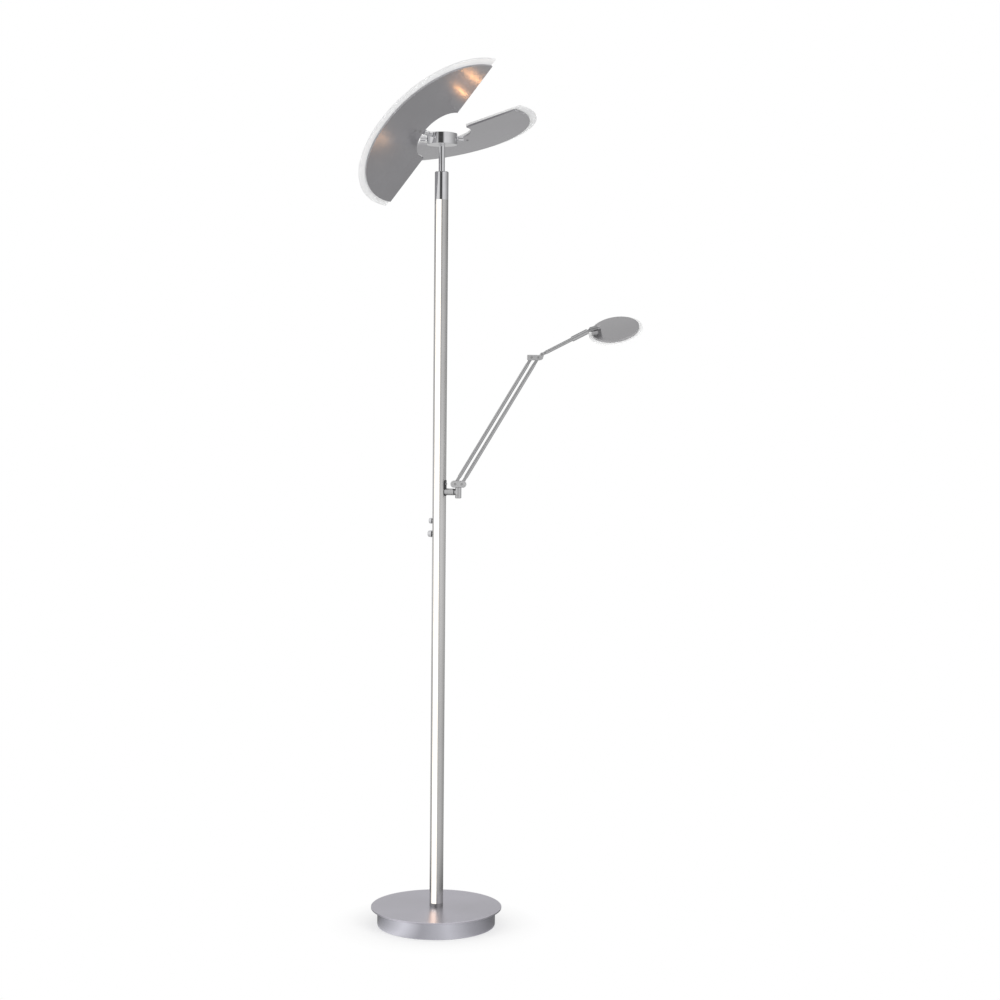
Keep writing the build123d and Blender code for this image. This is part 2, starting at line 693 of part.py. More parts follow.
def wing(side, twist):
    # The wing's own frame: y along the arm away from the hub, z out of the lit side.
    level = turned(Plane.XY.offset(wing_axis_height), (0, 0, 1), arm_angles[side])
    frame = turned(level, level.y_dir, twist)
    along = Plane(origin=frame.origin, x_dir=frame.z_dir, z_dir=frame.y_dir)
    under = frame.offset(wing_lift)
    screw_places = [
        (0, wing_inner_radius + wing_tongue_length / 2 - wing_screw_spacing / 2),
        (0, wing_inner_radius + wing_tongue_length / 2 + wing_screw_spacing / 2),
    ]
    tray_floor = wing_lift + tray_sheet
    tongue_thickness_inside = tray_height - tray_sheet - face_gap

    # Shaft through the boss, collar, round arm, and a flat tongue that lies inside the tray.
    with BuildPart() as arm:
        with BuildSketch(along.offset(hub_inner_radius - wing_shaft_tail - 2 * clip_thickness)):
            Circle(wing_shaft_diameter / 2)
        extrude(amount=wing_arm_start - hub_inner_radius + wing_shaft_tail + 2 * clip_thickness)
        with BuildSketch(along.offset(wing_arm_start)):
            Circle(boss_diameter / 2)
        extrude(amount=wing_collar_length)
        with BuildSketch(along.offset(wing_arm_start)):
            Circle(wing_arm_diameter / 2)
        extrude(amount=wing_arm_end - wing_arm_start)
        ends = round_edges(arm, wing_arm_diameter / 2)
        chamfer(ends.sort_by(Axis(frame.origin, frame.y_dir))[-1], length=wing_arm_end_chamfer)
        with BuildSketch(frame.offset(tray_floor)):
            with Locations((0, wing_arm_end - wing_tongue_root)):
                Rectangle(
                    wing_tongue_width,
                    wing_tongue_end - wing_arm_end + wing_tongue_root,
                    align=(Align.CENTER, Align.MIN),
                )
            with Locations((0, wing_arm_start)):
                Rectangle(
                    wing_arm_diameter / 2,
                    wing_arm_end - wing_arm_start,
                    align=(Align.CENTER, Align.MIN),
                )
        extrude(amount=tongue_thickness_inside)
        with BuildSketch(frame):
            with Locations(*screw_places):
                Circle(wing_screw_diameter / 2 + seat_fit)
        extrude(amount=wing_arm_diameter, mode=Mode.SUBTRACT)
        groove_start = hub_inner_radius - clip_thickness - face_gap
        with BuildSketch(along.offset(groove_start - clip_thickness)):
            Circle(wing_arm_diameter)
            Circle(wing_groove_radius, mode=Mode.SUBTRACT)
        extrude(amount=clip_thickness, mode=Mode.SUBTRACT)
    save(arm, f"{side}_wing_arm")

    clip_plane = along.offset(groove_start - clip_thickness + seat_fit)
    wing_clip = clip(clip_plane, wing_groove_radius, wing_clip_width)
    save(wing_clip, f"{side}_wing_clip")

    # Dark ring between the boss and the arm.
    with BuildPart() as ring:
        with BuildSketch(along.offset(boss_reach + face_gap)):
            Circle(wing_shaft_diameter / 2 + wing_ring_width)
            Circle(wing_shaft_diameter / 2 + seat_fit, mode=Mode.SUBTRACT)
        extrude(amount=wing_ring_length)
    save(ring, f"{side}_wing_ring")

    # Metal tray: a shallow half ring, open on the lit side.
    with BuildPart() as tray:
        extrude(
            half_ring(under, wing_inner_radius, wing_outer_radius, wing_edge_gap),
            amount=tray_height,
        )
        extrude(
            half_ring(
                under.offset(tray_sheet),
                wing_inner_radius + tray_sheet,
                wing_outer_radius - tray_sheet,
                wing_edge_gap + tray_sheet,
            ),
            amount=tray_height,
            mode=Mode.SUBTRACT,
        )
        with BuildSketch(under):
            with Locations(*screw_places):
                Circle(wing_screw_diameter / 2 + seat_fit)
        extrude(amount=tray_sheet, mode=Mode.SUBTRACT)
        # Mouth in the inner wall for the arm's tongue.
        with BuildSketch(under.offset(tray_sheet)):
            with Locations((0, wing_arm_end - wing_tongue_root)):
                Rectangle(
                    wing_tongue_width + 2 * slot_fit,
                    wing_tongue_root + tray_height + tray_sheet,
                    align=(Align.CENTER, Align.MIN),
                )
        extrude(amount=tray_height, mode=Mode.SUBTRACT)
    save(tray, f"{side}_wing_tray")

    # Light board: a half-ring band with its chips on an arc.
    board_face = under.offset(tray_sheet)
    board_edge = wing_edge_gap + tray_sheet + wing_board_end_gap
    led_radius = (wing_board_inner + wing_board_outer) / 2
    led_margin = degrees((board_edge + 2 * wing_led_side) / led_radius)
    with BuildPart() as board:
        extrude(
            half_ring(board_face, wing_board_inner, wing_board_outer, board_edge),
            amount=wing_board_thickness,
        )
        with BuildSketch(board_face.offset(wing_board_thickness)):
            with PolarLocations(
                led_radius,
                wing_led_count,
                start_angle=led_margin,
                angular_range=180 - 2 * led_margin,
                endpoint=True,
            ):
                Rectangle(wing_led_side, wing_led_side)
        extrude(amount=wing_led_height)
    save(board, f"{side}_wing_board")

    # Clear plate that closes the tray and stands out beyond its round edge.
    with BuildPart() as light_plate:
        extrude(
            half_ring(
                under.offset(tray_height), wing_inner_radius, light_plate_radius, wing_edge_gap
            ),
            amount=light_plate_thickness,
        )
        chamfer(round_edges(light_plate, light_plate_radius), length=light_plate_chamfer)
    save(light_plate, f"{side}_wing_light_plate")

    # Screws from below: low heads under the tray's floor, shanks in the tongue.
    with BuildPart() as screws:
        with BuildSketch(frame.offset(wing_lift)):
            with Locations(*screw_places):
                Circle(wing_screw_diameter / 2)
        extrude(amount=tray_sheet + tongue_thickness_inside)
        with BuildSketch(frame.offset(wing_lift - wing_screw_head_height)):
            with Locations(*screw_places):
                Circle(wing_screw_head_diameter / 2)
        extrude(amount=wing_screw_head_height)
    save(screws, f"{side}_wing_screws")


wing("front", front_twist_angle)
wing("back", back_twist_angle)

# ---- Reading arm: the mount on the pole --------------------------------------------------------
plate_radius = pole_radius + arm_plate_thickness
stub_plane = Plane(origin=(0, 0, stub_height), x_dir=(0, 1, 0), z_dir=(1, 0, 0))
screw_plane = Plane(origin=(0, 0, stub_height + arm_screw_rise), x_dir=(0, 1, 0), z_dir=(1, 0, 0))
stub_end = post_offset - post_socket_reach - arm_ring_length

# Curved plate that hugs the pole.
plate_half_width = plate_radius * sin(radians(arm_plate_half_angle))
with BuildPart() as arm_plate:
    with BuildSketch(Plane.XY.offset(arm_plate_bottom)):
        Circle(plate_radius)
        Circle(pole_radius, mode=Mode.SUBTRACT)
    extrude(amount=arm_plate_height)
    with BuildSketch(Plane.YZ):
        with Locations((0, arm_plate_bottom + arm_plate_height / 2)):
            RectangleRounded(2 * plate_half_width, arm_plate_height, arm_plate_corner)
    extrude(amount=plate_radius + cut_margin, mode=Mode.INTERSECT)
    with BuildSketch(stub_plane):
        Circle(arm_bolt_diameter / 2 + seat_fit)
    extrude(amount=plate_radius + cut_margin, mode=Mode.SUBTRACT)
    with BuildSketch(screw_plane):
        Circle(arm_screw_diameter / 2 + seat_fit)
    extrude(amount=plate_radius + cut_margin, mode=Mode.SUBTRACT)
save(arm_plate, "arm_plate")

# Screw above the stub, with a low round head.
with BuildPart() as arm_screw:
    with BuildSketch(screw_plane.offset(plate_radius - arm_screw_length)):
        Circle(arm_screw_diameter / 2)
    extrude(amount=arm_screw_length)
    with BuildSketch(screw_plane.offset(plate_radius)):
        Circle(arm_screw_head_diameter / 2)
    extrude(amount=arm_screw_head_height)
    fillet(arm_screw.edges().group_by(Axis.X)[-1], radius=arm_screw_head_round)
save(arm_screw, "arm_screw")

# Bolt from inside the pole that holds the stub.
with BuildPart() as arm_bolt:
    bolt_seat = pole_inner_radius - arm_bolt_head_height / 2
    with BuildSketch(stub_plane.offset(bolt_seat - arm_bolt_head_height)):
        RegularPolygon(arm_bolt_head_diameter / 2, 6, major_radius=False)
    extrude(amount=arm_bolt_head_height)
    with BuildSketch(stub_plane.offset(bolt_seat)):
        Circle(arm_bolt_diameter / 2)
    extrude(amount=plate_radius + arm_bolt_reach - bolt_seat)
save(arm_bolt, "arm_bolt")

# Stub with an end hollowed to sit on the curved plate.
with BuildPart() as arm_stub:
    with BuildSketch(stub_plane.offset(pole_radius)):
        Circle(stub_diameter / 2)
    extrude(amount=stub_end - pole_radius)
    with BuildSketch(Plane.XY.offset(stub_height - stub_diameter)):
        Circle(plate_radius)
    extrude(amount=2 * stub_diameter, mode=Mode.SUBTRACT)
    chamfer(arm_stub.edges().group_by(Axis.X)[-1], length=stub_chamfer)
    with BuildSketch(stub_plane):
        Circle(arm_bolt_diameter / 2 + seat_fit)
    extrude(amount=plate_radius + arm_bolt_reach, mode=Mode.SUBTRACT)
save(arm_stub, "arm_stub")

with BuildPart() as arm_ring:
    with BuildSketch(stub_plane.offset(stub_end)):
        Circle(arm_ring_diameter / 2)
    extrude(amount=arm_ring_length)
save(arm_ring, "arm_ring")

# Upright socket with a short arm back to the ring.
with BuildPart() as arm_post:
    with BuildSketch(Plane.XY.offset(stub_height - post_below_stub)):
        with Locations((post_offset, 0)):
            Circle(post_diameter / 2)
    extrude(amount=post_below_stub + post_above_stub)
    chamfer(arm_post.edges().group_by(Axis.Z)[0], length=post_chamfer)
    with BuildSketch(stub_plane.offset(stub_end + arm_ring_length)):
        Circle(arm_ring_diameter / 2)
    extrude(amount=post_socket_reach)
    with BuildSketch(Plane.XY.offset(spindle_bottom - cut_margin)):
        with Locations((post_offset, 0)):
            Circle(spindle_diameter / 2 + running_fit)
    extrude(amount=spindle_length + 2 * cut_margin, mode=Mode.SUBTRACT)
save(arm_post, "arm_post")

# ---- Reading arm: the moving links -------------------------------------------------------------
# All links lie in one upright plane through the post: x away from the post, y up.
arm_plane = Plane(
    origin=(post_offset, 0, 0),
    x_dir=(cos(radians(arm_bearing_angle)), sin(radians(arm_bearing_angle)), 0),
    z_dir=(sin(radians(arm_bearing_angle)), -cos(radians(arm_bearing_angle)), 0),
)
across = Axis(arm_plane.origin, arm_plane.z_dir)
lower_pivots = [(-bar_spacing / 2, knuckle_centre_height), (bar_spacing / 2, knuckle_centre_height)]
bar_run = bar_length * sin(radians(bar_lean_angle))
bar_rise = bar_length * cos(radians(bar_lean_angle))
upper_pivots = [(x + bar_run, z + bar_rise) for x, z in lower_pivots]
upper_centre = (bar_run, knuckle_centre_height + bar_rise)
ear = (upper_centre[0] + ear_reach, upper_centre[1] + ear_rise)
hinge = (
    ear[0] + forearm_length * cos(radians(forearm_angle)),
    ear[1] + forearm_length * sin(radians(forearm_angle)),
)


def link_frame(place, angle):
    """Plane in the arm's plane at `place`, its x axis `angle` degrees above level."""
    origin = arm_plane.from_local_coords(Vector(place[0], place[1], 0))
    level = Plane(origin=origin, x_dir=arm_plane.x_dir, z_dir=arm_plane.z_dir)
    return turned(level, level.z_dir, angle)


def pins(places):
    """Plain pins across the knuckle at the given places."""
    with BuildPart() as group:
        with BuildSketch(arm_plane):
            with Locations(*places):
                Circle(pin_diameter / 2)
        extrude(amount=knuckle_width / 2, both=True)
    return group


# Lower knuckle: a fork, open above and towards the reach, closed at its back end.
with BuildPart() as lower_knuckle:
    with BuildSketch(arm_plane):
        with Locations((0, knuckle_centre_height)):
            SlotOverall(knuckle_length, knuckle_height)
    extrude(amount=knuckle_width / 2, both=True)
    cheeks = lower_knuckle.faces().filter_by(across)
    chamfer(cheeks.edges(), length=knuckle_chamfer)
    slot_back_end = lower_pivots[0][0] - slot_floor_drop
    with BuildSketch(arm_plane):
        with Locations((slot_back_end, knuckle_centre_height - slot_floor_drop)):
            Rectangle(knuckle_length, knuckle_height, align=(Align.MIN, Align.MIN))
    extrude(amount=tongue_slot / 2, both=True, mode=Mode.SUBTRACT)
    with BuildSketch(arm_plane):
        with Locations(*lower_pivots):
            Circle(pin_diameter / 2 + seat_fit)
    extrude(amount=knuckle_width, both=True, mode=Mode.SUBTRACT)
    with BuildSketch(Plane.XY.offset(post_top)):
        with Locations((post_offset, 0)):
            Circle(spindle_diameter / 2 + seat_fit)
    extrude(amount=knuckle_height / 2, mode=Mode.SUBTRACT)
save(lower_knuckle, "lower_knuckle")

with BuildPart() as arm_spindle:
    with BuildSketch(Plane.XY.offset(spindle_bottom)):
        with Locations((post_offset, 0)):
            Circle(spindle_diameter / 2)
    extrude(amount=knuckle_centre_height - slot_floor_drop - spindle_bottom)
save(arm_spindle, "arm_spindle")

lower_pins = pins(lower_pivots)
save(lower_pins, "lower_pins")


def tongued_rod(frame, length, diameter, tongue, far_tongue):
    """Round rod with a flat, round-ended tongue at its pivot and, if asked, at its far end."""
    with BuildPart() as rod:
        with BuildSketch(frame):
            with Locations((length / 2, 0)):
                SlotCenterToCenter(length, tongue_width)
        extrude(amount=tongue_thickness / 2, both=True)
        with BuildSketch(square_to(frame, tongue)):
            Circle(diameter / 2)
        extrude(amount=length - tongue - far_tongue)
        with BuildSketch(frame):
            with Locations((0, 0), (length, 0)):
                Circle(pin_diameter / 2 + running_fit)
        extrude(amount=tongue_thickness, both=True, mode=Mode.SUBTRACT)
    return rod


for name, pivot in zip(("bar_a", "bar_b"), lower_pivots):
    bar_frame = link_frame(pivot, 90 - bar_lean_angle)
    bar = tongued_rod(bar_frame, bar_length, bar_diameter, tongue_length, tongue_length)
    save(bar, name)

# Upper knuckle: a fork open below for the bars, with a raised ear at its far end for the forearm.
toe = (upper_centre[0] + toe_reach, upper_centre[1])
block_length = upper_knuckle_back + toe_reach
with BuildPart() as upper_knuckle:
    with BuildSketch(arm_plane):
        with Locations((toe[0] - block_length / 2, toe[1])):
            RectangleRounded(block_length, upper_knuckle_height, upper_knuckle_round)
    extrude(amount=knuckle_width / 2, both=True)
    with BuildSketch(arm_plane):
        with Locations(toe):
            Circle(toe_radius)
        with Locations(ear):
            Circle(ear_radius)
        make_hull()
    extrude(amount=knuckle_width / 2, both=True)
    cheeks = upper_knuckle.faces().filter_by(across)
    chamfer(cheeks.edges(), length=knuckle_chamfer)
    bars_slot = (upper_pivots[1][0] + slot_floor_drop, upper_pivots[1][1] + slot_floor_drop)
    ear_slot = (ear[0] - slot_floor_drop, ear[1] - slot_floor_drop - ear_slot_drop)
    with BuildSketch(arm_plane):
        with Locations(bars_slot):
            Rectangle(knuckle_length, knuckle_height, align=(Align.MAX, Align.MAX))
        with Locations(ear_slot):
            Rectangle(knuckle_length, knuckle_height, align=(Align.MIN, Align.MIN))
    extrude(amount=tongue_slot / 2, both=True, mode=Mode.SUBTRACT)
    with BuildSketch(arm_plane):
        with Locations(*upper_pivots, ear):
            Circle(pin_diameter / 2 + seat_fit)
    extrude(amount=knuckle_width, both=True, mode=Mode.SUBTRACT)
save(upper_knuckle, "upper_knuckle")

upper_pins = pins([*upper_pivots, ear])
save(upper_pins, "upper_pins")

# Forearm: a tongued rod, and a thicker grip sleeve that ends just short of the head's hinge.
forearm_frame = link_frame(ear, forearm_angle)
forearm_rod = tongued_rod(
    forearm_frame, forearm_length, forearm_diameter, forearm_tongue, grip_end_gap
)
save(forearm_rod, "forearm_rod")

grip_start = forearm_length - grip_end_gap - grip_length
with BuildPart() as forearm_grip:
    with BuildSketch(square_to(forearm_frame, grip_start)):
        Circle(grip_diameter / 2)
    extrude(amount=grip_length)
    fillet(forearm_grip.edges(), radius=grip_round)
    with BuildSketch(square_to(forearm_frame, grip_start)):
        Circle(forearm_diameter / 2 + seat_fit)
    extrude(amount=grip_length, mode=Mode.SUBTRACT)
save(forearm_grip, "forearm_grip")

# ---- Reading head ------------------------------------------------------------------------------
neck_frame = link_frame(hinge, neck_angle)
neck_radius = neck_link_diameter / 2

# Neck: round, forked over the forearm's tongue, with a bore for the head's shaft.
with BuildPart() as head_neck:
    with BuildSketch(square_to(neck_frame, -neck_radius)):
        Circle(neck_radius)
    extrude(amount=neck_radius + neck_link_length)
    with BuildSketch(neck_frame):
        Circle(neck_radius)
        Rectangle(neck_link_length, neck_link_diameter, align=(Align.MIN, Align.CENTER))
    extrude(amount=neck_link_diameter, both=True, mode=Mode.INTERSECT)
    with BuildSketch(neck_frame):
        with Locations((slot_floor_drop, 0)):
            Rectangle(neck_link_length, 2 * neck_link_diameter, align=(Align.MAX, Align.CENTER))
    extrude(amount=tongue_slot / 2, both=True, mode=Mode.SUBTRACT)
    with BuildSketch(neck_frame):
        Circle(pin_diameter / 2 + seat_fit)
    extrude(amount=neck_link_diameter, both=True, mode=Mode.SUBTRACT)
    with BuildSketch(square_to(neck_frame, neck_link_length - head_shaft_length - face_gap)):
        Circle(head_shaft_diameter / 2 + running_fit)
    extrude(amount=neck_link_length, mode=Mode.SUBTRACT)
save(head_neck, "head_neck")

with BuildPart() as neck_pin:
    with BuildSketch(neck_frame):
        Circle(pin_diameter / 2)
    extrude(amount=neck_radius - neck_pin_inset, both=True)
save(neck_pin, "neck_pin")

# The head's own frame: origin on the neck's axis over the disc's centre, z out of the disc's back.
head_normal = neck_frame.y_dir * cos(radians(head_roll)) + neck_frame.z_dir * sin(radians(head_roll))
head_frame = Plane(
    origin=neck_frame.origin + neck_frame.x_dir * head_distance,
    x_dir=neck_frame.x_dir,
    z_dir=head_normal,
)
disc_back = head_frame.offset(-head_drop)

# Boss: a shaft in the neck, a round collar and a foot on the disc's back.
boss_start = neck_link_length + face_gap
foot_middle = boss_start + head_boss_length / 2 - head_distance
with BuildPart() as head_boss:
    with BuildSketch(square_to(neck_frame, neck_link_length - head_shaft_length)):
        Circle(head_shaft_diameter / 2)
    extrude(amount=head_shaft_length + face_gap)
    with BuildSketch(square_to(neck_frame, boss_start)):
        Circle(neck_radius)
    extrude(amount=head_boss_length)
    with BuildSketch(disc_back):
        with Locations((foot_middle, 0)):
            Rectangle(head_boss_length, head_boss_width)
    extrude(amount=head_drop)
save(head_boss, "head_boss")

# Shallow spun disc, open on its lit side.
disc_axis = Axis(head_frame.origin, head_normal)
with BuildPart() as head_shell:
    with BuildSketch(disc_back):
        Circle(head_radius)
    extrude(amount=-head_height)
    fillet(head_shell.edges().sort_by(disc_axis)[-1], radius=head_edge_round)
    with BuildSketch(disc_back.offset(-head_sheet)):
        Circle(head_radius - head_sheet)
    extrude(amount=-head_height, mode=Mode.SUBTRACT)
save(head_shell, "head_shell")

with BuildPart() as head_board:
    with BuildSketch(disc_back.offset(-head_sheet)):
        Circle(head_board_radius)
    extrude(amount=-head_board_thickness)
    with BuildSketch(disc_back.offset(-head_sheet - head_board_thickness)):
        with PolarLocations(head_led_radius, head_led_count):
            Rectangle(head_led_side, head_led_side)
    extrude(amount=-head_led_height)
save(head_board, "head_board")

with BuildPart() as head_light_plate:
    with BuildSketch(disc_back.offset(-head_height)):
        Circle(head_radius + head_rim)
    extrude(amount=-head_plate_thickness)
    chamfer(head_light_plate.edges(), length=head_plate_chamfer)
save(head_light_plate, "head_light_plate")
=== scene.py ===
# %% [markdown]
# # A torchiere floor lamp with a reading light
#
# The metal, plastic and acrylic pieces come from the CAD model, each as its own object, already in place.
# This lesson gives every one of them its finish, adds the small fittings that a CAD model leaves out,
# and photographs the lamp in a plain white studio. All sizes are in metres, the origin is the centre of
# the base on the floor, and +Z is up. The lit strip faces -Y and the reading arm is on the +X side.

# %% Load the lamp
import json
import math

import bmesh
import bpy
from mathutils import Matrix, Vector


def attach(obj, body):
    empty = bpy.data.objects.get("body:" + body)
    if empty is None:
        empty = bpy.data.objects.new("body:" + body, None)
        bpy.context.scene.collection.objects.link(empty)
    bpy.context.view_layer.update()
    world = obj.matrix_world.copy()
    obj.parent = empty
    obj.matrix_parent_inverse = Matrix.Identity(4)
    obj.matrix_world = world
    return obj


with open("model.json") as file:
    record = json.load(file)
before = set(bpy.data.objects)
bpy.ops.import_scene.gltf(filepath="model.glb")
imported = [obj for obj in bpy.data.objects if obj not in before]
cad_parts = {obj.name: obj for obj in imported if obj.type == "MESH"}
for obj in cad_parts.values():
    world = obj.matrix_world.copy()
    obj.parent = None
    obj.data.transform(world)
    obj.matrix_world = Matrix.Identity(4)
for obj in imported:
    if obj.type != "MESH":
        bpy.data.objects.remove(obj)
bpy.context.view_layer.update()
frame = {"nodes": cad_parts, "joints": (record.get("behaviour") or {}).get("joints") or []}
nodes = frame["nodes"]

# %% [markdown]
# ## The camera
#
# In the photograph the base is seen slightly from above and the wings from below, so the lens is above the
# dimmers and looks a few degrees down. A camera could be aimed at the lamp with a constraint. Three
# written turns were chosen instead, because each can be matched to the photograph by itself. A camera in
# Blender looks along its own -Z, so it is tipped up by nearly a right angle, then turned about the
# vertical. A little roll about its own axis gives the slight lean that the photograph has.

# %% Camera
VIEW_SIDE = math.radians(24)
CAMERA_DISTANCE = 4.380
CAMERA_HEIGHT = 1.1984
PAN = math.radians(-1.80)
LOOK_DOWN = math.radians(2.93)
LEAN = math.radians(0.52)

camera_data = bpy.data.cameras.new("camera")
camera_data.sensor_fit = "HORIZONTAL"
camera_data.sensor_width = 36
camera_data.lens = 69.66
camera_data.clip_end = 100
camera = bpy.data.objects.new("camera", camera_data)
bpy.context.scene.collection.objects.link(camera)
bpy.context.scene.camera = camera
heading = Matrix.Rotation(VIEW_SIDE + PAN, 4, "Z")
tip = Matrix.Rotation(math.radians(90) - LOOK_DOWN, 4, "X")
roll = Matrix.Rotation(LEAN, 4, "Z")
to_camera = Vector((math.sin(VIEW_SIDE), -math.cos(VIEW_SIDE), 0))
to_right = Vector((math.cos(VIEW_SIDE), math.sin(VIEW_SIDE), 0))
camera_place = to_camera * CAMERA_DISTANCE + Vector((0, 0, CAMERA_HEIGHT))
camera.matrix_world = Matrix.Translation(camera_place) @ heading @ tip @ roll
print("camera at", [round(v, 3) for v in camera_place])

# %% [markdown]
# ## Shader maths as Python
#
# A procedural material is arithmetic on numbers that change over the surface. Blender draws that
# arithmetic as Math nodes, and the finishes of this lamp take dozens of them, which would have to be placed
# and wired by hand. The small class below wraps a socket instead, so that `grain * 0.2` or `1 - mask` adds
# its Math node by itself. Any other kind of node comes from `Finish.node`, which takes the node's type,
# its settings and what its sockets get.

# %% Values
class Value:
    """A socket that Python's own operators work on, from either side."""

    def __init__(self, finish, socket):
        self.finish = finish
        self.socket = socket

    def __add__(self, other):
        return self.finish.math("ADD", self, other)

    def __sub__(self, other):
        return self.finish.math("SUBTRACT", self, other)

    def __mul__(self, other):
        return self.finish.math("MULTIPLY", self, other)

    def __truediv__(self, other):
        return self.finish.math("DIVIDE", self, other)

    def __rsub__(self, other):
        return self.finish.math("SUBTRACT", other, self)

    def __rtruediv__(self, other):
        return self.finish.math("DIVIDE", other, self)

    __radd__ = __add__
    __rmul__ = __mul__


print("values take + - * / from either side")


# %% Finishes
class Finish:
    """A node tree being built; `shader` is its Principled BSDF."""

    def __init__(self, name):
        self.material = bpy.data.materials.new(name)
        self.material.use_nodes = True
        self.tree = self.material.node_tree
        self.shader = self.tree.nodes["Principled BSDF"]

    def node(self, kind, settings=None, inputs=None, output=0):
        node = self.tree.nodes.new(kind)
        for key, value in (settings or {}).items():
            if key == "stops":
                ramp = node.color_ramp
                while len(ramp.elements) < len(value):
                    ramp.elements.new(0.5)
                for element, (position, colour) in zip(ramp.elements, value):
                    element.position = position
                    element.color = (*colour, 1)
            else:
                setattr(node, key, value)
        for key, value in (inputs or {}).items():
            self.feed(node.inputs[key], value)
        return Value(self, node.outputs[output])

    def feed(self, socket, value):
        if isinstance(value, Value):
            self.tree.links.new(value.socket, socket)
        elif isinstance(value, tuple) and len(value) == 3 and socket.type == "RGBA":
            socket.default_value = (*value, 1)
        else:
            socket.default_value = value

    def set(self, **inputs):
        for key, value in inputs.items():
            self.feed(self.shader.inputs[key.replace("_", " ")], value)
        return self

    def math(self, operation, *values):
        return self.node("ShaderNodeMath", {"operation": operation}, dict(enumerate(values)))

    def place(self):
        return self.node("ShaderNodeTexCoord", output="Object")

    def stretched(self, scale, turn=(0, 0, 0)):
        """The place on the piece, stretched so that a noise on it runs out into lines."""
        values = {"Vector": self.place(), "Rotation": turn, "Scale": scale}
        return self.node("ShaderNodeMapping", inputs=values)

    def from_axis(self):
        """How far the place is from the pole's axis."""
        flat = self.node("ShaderNodeVectorMath", {"operation": "MULTIPLY"}, {0: self.place(), 1: (1, 1, 0)})
        return self.node("ShaderNodeVectorMath", {"operation": "LENGTH"}, {0: flat}, output="Value")

    def part(self, vector, axis):
        return self.node("ShaderNodeSeparateXYZ", inputs={0: vector}, output=axis)

    def noise(self, vector, scale, detail=3.0, roughness=0.5):
        values = {"Vector": vector, "Scale": scale, "Detail": detail, "Roughness": roughness}
        return self.node("ShaderNodeTexNoise", inputs=values, output="Fac")

    def fade(self, value, low, high, start=0.0, end=1.0):
        """The value spread from low..high to start..end, and held there."""
        values = {"Value": value, "From Min": low, "From Max": high, "To Min": start, "To Max": end}
        return self.node("ShaderNodeMapRange", inputs=values)

    def mix(self, factor, first, second):
        """A colour between two; the node has several sockets of each name, so they go by number."""
        colours = {0: factor, 6: first, 7: second}
        return self.node("ShaderNodeMix", {"data_type": "RGBA"}, colours, output=2)

    def bump(self, height, strength, distance):
        values = {"Height": height, "Strength": strength, "Distance": distance}
        return self.set(Normal=self.node("ShaderNodeBump", inputs=values))


def made(*finishes):
    """Prints each finish with the number of its nodes."""
    print({finish.material.name: len(finish.tree.nodes) for finish in finishes})


print("finishes are ready to be mixed")

# %% [markdown]
# ## Satin nickel
#
# Most of the lamp is steel with a satin nickel plating. The plating copies the lines of the tool under
# it: the pole and the bars are drawn along their length, the drum is spun and the base plate is turned in
# rings. In each case a noise is squeezed across the lines and stretched along them, so it runs out into
# fine strokes. The strokes change the roughness and, by less than a hundredth of a millimetre, the height.
# A slow cloud of a second noise keeps the colour from being flat. A picture of brushed metal could be
# wrapped round each piece instead, but it would need a layout for every piece and would blur close up.
# Noise on the object's own coordinates needs no layout and stays sharp.

# %% Satin nickel
def satin(name, colour, roughness, lines, strength=0.05, spread=0.0, spread_turn=0.0):
    """Metal with strokes; `spread` widens its reflections across the strokes."""
    finish = Finish(name)
    strokes = finish.noise(lines(finish), 1.0, 4.0, 0.6)
    cloud = finish.noise(finish.place(), 9.0, 2.0)
    light = tuple(min(1.0, c * 1.04) for c in colour)
    dark = tuple(c * 0.94 for c in colour)
    shade = finish.fade(strokes * 0.5 + cloud * 0.5, 0.35, 0.65)
    finish.set(Metallic=1.0, Base_Color=finish.mix(shade, dark, light))
    uneven = strokes * 0.6 + cloud * 0.4
    finish.set(Roughness=finish.fade(uneven, 0.3, 0.7, roughness - 0.03, roughness + 0.04))
    finish.set(Anisotropic=spread, Anisotropic_Rotation=spread_turn)
    return finish.bump(strokes, strength, 0.0001)


def along(scale, turn=(0, 0, 0)):
    return lambda finish: finish.stretched(scale, turn)


RINGS_PER_METRE = 1600


def rings(finish):
    """Noise on the distance from the axis makes the rings that a lathe leaves."""
    return finish.node("ShaderNodeCombineXYZ", inputs={"X": finish.from_axis() * RINGS_PER_METRE})


QUARTER_TURN = 0.25
pole_satin = satin("satin_pole", (0.51, 0.505, 0.50), 0.24, along((900, 900, 4)), 0.01, 0.5)
drum_satin = satin("satin_drum", (0.66, 0.655, 0.72), 0.22, along((5, 5, 2000)), 0.06, 0.9, QUARTER_TURN)
plate_satin = satin("satin_plate", (0.61, 0.595, 0.655), 0.30, rings, 0.05, 0.5, QUARTER_TURN)
bar_satin = satin("satin_bar", (0.46, 0.46, 0.465), 0.26, along((700, 700, 12), (0, 0.5, 0)), 0.03)
made(pole_satin, drum_satin, plate_satin, bar_satin)

# %% [markdown]
# The wings and the reading head's disc have a finer, blasted satin: grains that have no direction, with
# a broad soft sheen. Their undersides are what one sees from the floor. A higher roughness alone would
# give the sheen but leave the metal blank close up, so the same function is used with a grain that is
# equally fine in all directions. The knuckles of the reading arm have it shallower, and the neck of the
# head is plated darker.

# %% Blasted satin
GRAINS_PER_METRE = 2600


def blasted(name, colour, roughness, strength=0.10):
    return satin(name, colour, roughness, along((GRAINS_PER_METRE,) * 3), strength)


